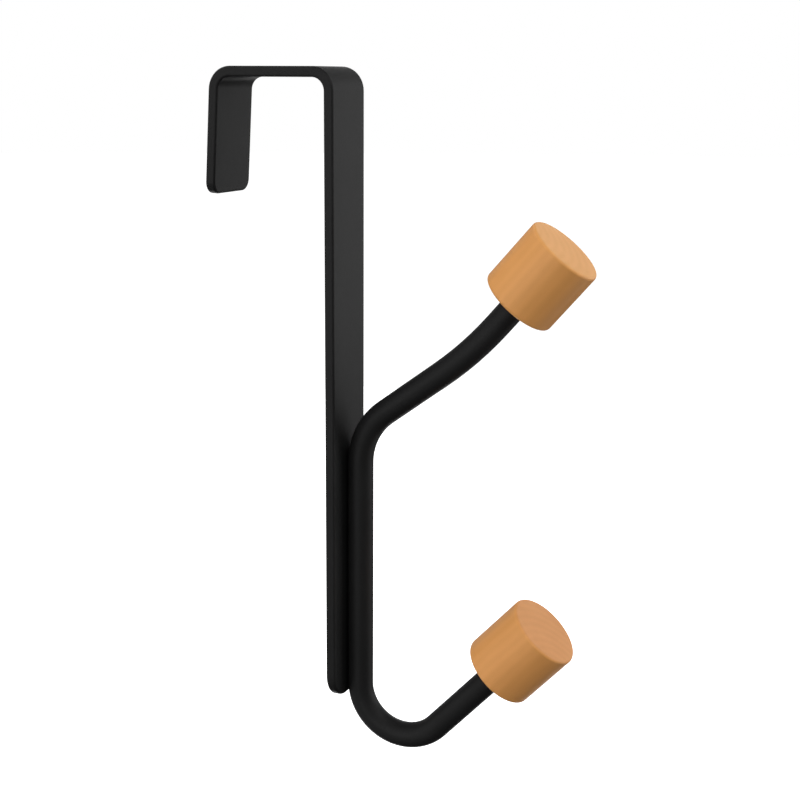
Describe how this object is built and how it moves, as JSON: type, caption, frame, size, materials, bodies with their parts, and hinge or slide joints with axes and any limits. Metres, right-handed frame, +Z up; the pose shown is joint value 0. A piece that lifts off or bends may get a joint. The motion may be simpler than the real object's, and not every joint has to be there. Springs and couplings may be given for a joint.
{
  "type": "over door hook",
  "caption": "Flat steel bar bent over a door's top edge, with a welded round rod bent into an upper prong and a lower hook, tipped with turned wooden knobs.",
  "frame": {"origin": "centre of the top bar's underside, which rests on the door's top edge", "axes": "+X out of the door's face, towards the prong and hook; +Y along the door; +Z up"},
  "size_m": [0.1204, 0.0238, 0.2128],
  "materials": {
    "black_steel": "satin black powder coat",
    "light_wood": "clear matt lacquer on light hardwood"
  },
  "bodies": {
    "root": {"strap": "black_steel", "hook_rod": "black_steel", "upper_knob": "light_wood", "lower_knob": "light_wood"}
  },
  "joints": []
}
